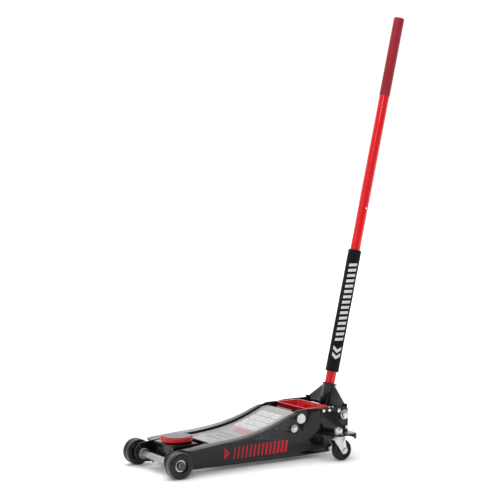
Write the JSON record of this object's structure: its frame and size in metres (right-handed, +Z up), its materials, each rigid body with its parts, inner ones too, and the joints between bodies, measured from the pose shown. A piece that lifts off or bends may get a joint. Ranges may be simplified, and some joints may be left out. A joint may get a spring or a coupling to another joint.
{
  "type": "hydraulic floor jack",
  "caption": "Low trolley jack with a hydraulic lift arm, swivelling saddle, front wheels, rear casters, tool tray and a long two-piece pump handle.",
  "frame": {"origin": "on the floor, on the centre plane, under the front axle", "axes": "-X forwards to the saddle end, +X to the handle end, +Z up, -Y the jack's left side"},
  "size_m": [0.9361, 0.358, 1.3501],
  "materials": {
    "black_enamel": "gloss black enamel",
    "grey_enamel": "satin grey enamel",
    "red_enamel": "gloss red enamel",
    "red_saddle": "red powder coat",
    "saddle_rubber": "ribbed rubber",
    "crimson_grip": "knurled crimson powder coat",
    "black_foam": "closed-cell foam",
    "red_plastic": "moulded red plastic",
    "wheel_nylon": "black cast wheel",
    "caster_nylon": "black nylon",
    "zinc_plate": "bright zinc plate",
    "bare_steel": "turned steel",
    "cast_block": "painted casting"
  },
  "bodies": {
    "chassis": {"side_plate_left": "black_enamel", "side_plate_right": "black_enamel", "tie_rods": "zinc_plate", "tray_screws": "zinc_plate", "frame_nuts": "zinc_plate", "front_axle": "bare_steel", "axle_collars": "bare_steel", "axle_washers": "zinc_plate", "axle_nuts": "zinc_plate", "caster_shelves": "black_enamel", "upper_races": "zinc_plate", "kingpins": "zinc_plate", "kingpin_nuts": "zinc_plate", "lift_pivot_shaft": "zinc_plate", "link_bolts": "zinc_plate", "tool_tray": "red_plastic", "pump_block": "cast_block", "ram_barrel": "cast_block", "barrel_cap": "cast_block", "ram_gland": "cast_block", "oil_tank": "cast_block", "unit_cradle": "black_enamel", "plunger_spring": "bare_steel", "return_springs": "bare_steel", "yoke_shaft": "bare_steel"},
    "lift_arm": {"arm_cheeks": "black_enamel", "arm_cover": "grey_enamel", "arm_sleeve": "black_enamel", "arm_tubes": "black_enamel", "crank_pin": "bare_steel", "arm_pin": "bare_steel"},
    "saddle_bracket": {"saddle_bracket": "black_enamel", "link_pins": "zinc_plate"},
    "saddle": {"saddle_cup": "red_saddle", "saddle_pad": "saddle_rubber", "saddle_clip": "zinc_plate"},
    "radius_rods": {"radius_rods": "black_enamel"},
    "ram": {"ram": "bare_steel", "ram_head": "bare_steel"},
    "pump_plunger": {"pump_plunger": "bare_steel"},
    "release_valve": {"release_valve": "bare_steel"},
    "yoke": {"handle_yoke": "black_enamel", "pump_roller": "bare_steel", "roller_pin": "bare_steel"},
    "handle": {"handle_lower_tube": "red_enamel", "handle_upper_tube": "red_enamel", "foam_sleeve": "black_foam", "hand_grip": "crimson_grip", "handle_cap": "crimson_grip"},
    "snap_button": {"snap_button": "zinc_plate"},
    "front_wheel_left": {"front_wheel_left": "wheel_nylon"},
    "caster_fork_left": {"caster_fork_left": "zinc_plate", "caster_bolt_left": "zinc_plate", "lower_race_left": "zinc_plate"},
    "caster_wheel_left": {"caster_wheel_left": "caster_nylon"},
    "front_wheel_right": {"front_wheel_right": "wheel_nylon"},
    "caster_fork_right": {"caster_fork_right": "zinc_plate", "caster_bolt_right": "zinc_plate", "lower_race_right": "zinc_plate"},
    "caster_wheel_right": {"caster_wheel_right": "caster_nylon"}
  },
  "joints": [
    {"name": "front_wheel_left_spin", "type": "hinge", "parent": "chassis", "child": "front_wheel_left", "pos_m": [0, -0.1251, 0.0385], "axis": [0, 1, 0], "continuous": true},
    {"name": "caster_swivel_left", "type": "hinge", "parent": "chassis", "child": "caster_fork_left", "pos_m": [0.536, -0.159, 0.07], "axis": [0, 0, 1], "continuous": true},
    {"name": "caster_roll_left", "type": "hinge", "parent": "caster_fork_left", "child": "caster_wheel_left", "pos_m": [0.548, -0.159, 0.03175], "axis": [0, 1, 0], "continuous": true},
    {"name": "front_wheel_right_spin", "type": "hinge", "parent": "chassis", "child": "front_wheel_right", "pos_m": [0, 0.1251, 0.0385], "axis": [0, 1, 0], "continuous": true},
    {"name": "caster_swivel_right", "type": "hinge", "parent": "chassis", "child": "caster_fork_right", "pos_m": [0.536, 0.159, 0.07], "axis": [0, 0, 1], "continuous": true},
    {"name": "caster_roll_right", "type": "hinge", "parent": "caster_fork_right", "child": "caster_wheel_right", "pos_m": [0.548, 0.159, 0.03175], "axis": [0, 1, 0], "continuous": true},
    {"name": "arm_lift", "type": "hinge", "parent": "chassis", "child": "lift_arm", "pos_m": [0.449, 0, 0.1245], "axis": [0, 1, 0], "range_deg": [0, 70]},
    {"name": "saddle_level", "type": "hinge", "parent": "lift_arm", "child": "saddle_bracket", "pos_m": [0.094, 0, 0.057], "axis": [0, 1, 0], "range_deg": [-70.1, 0]},
    {"name": "saddle_swivel", "type": "hinge", "parent": "saddle_bracket", "child": "saddle", "pos_m": [0.0645, 0, 0.08], "axis": [0, 0, 1], "continuous": true},
    {"name": "link_swing", "type": "hinge", "parent": "chassis", "child": "radius_rods", "pos_m": [0.423, 0, 0.0975], "axis": [0, 1, 0], "range_deg": [0, 70.1]},
    {"name": "ram_stroke", "type": "slide", "parent": "chassis", "child": "ram", "axis": [-1, 0, 0], "range_m": [0, 0.069], "deforming": ["return_springs"]},
    {"name": "handle_pump", "type": "hinge", "parent": "chassis", "child": "yoke", "pos_m": [0.598, 0, 0.12702], "axis": [0, 1, 0], "range_deg": [-6, 55]},
    {"name": "plunger_stroke", "type": "slide", "parent": "chassis", "child": "pump_plunger", "axis": [-1, 0, 0], "range_m": [-0.0022, 0.0197], "deforming": ["plunger_spring"]},
    {"name": "handle_twist", "type": "hinge", "parent": "yoke", "child": "handle", "pos_m": [0.598, 0, 0.12702], "axis": [0.2267, 0, 0.974], "range_deg": [0, 270]},
    {"name": "valve_turn", "type": "hinge", "parent": "chassis", "child": "release_valve", "pos_m": [0.57, 0.031, 0.08], "axis": [1, 0, 0], "range_deg": [0, 270.1]},
    {"name": "button_press", "type": "slide", "parent": "handle", "child": "snap_button", "axis": [0, 1, 0], "range_m": [0, 0.004], "stiffness_N_per_m": 400, "springref_m": -0.003}
  ],
  "couplings": [
    {"joint": "saddle_level", "follows": "arm_lift", "ratio": -1},
    {"joint": "link_swing", "follows": "arm_lift", "ratio": 1},
    {"joint": "ram_stroke", "follows": "arm_lift", "m_per_rad": 0.056337},
    {"joint": "plunger_stroke", "follows": "handle_pump", "m_per_rad": 0.0203},
    {"joint": "valve_turn", "follows": "handle_twist", "ratio": 1}
  ]
}
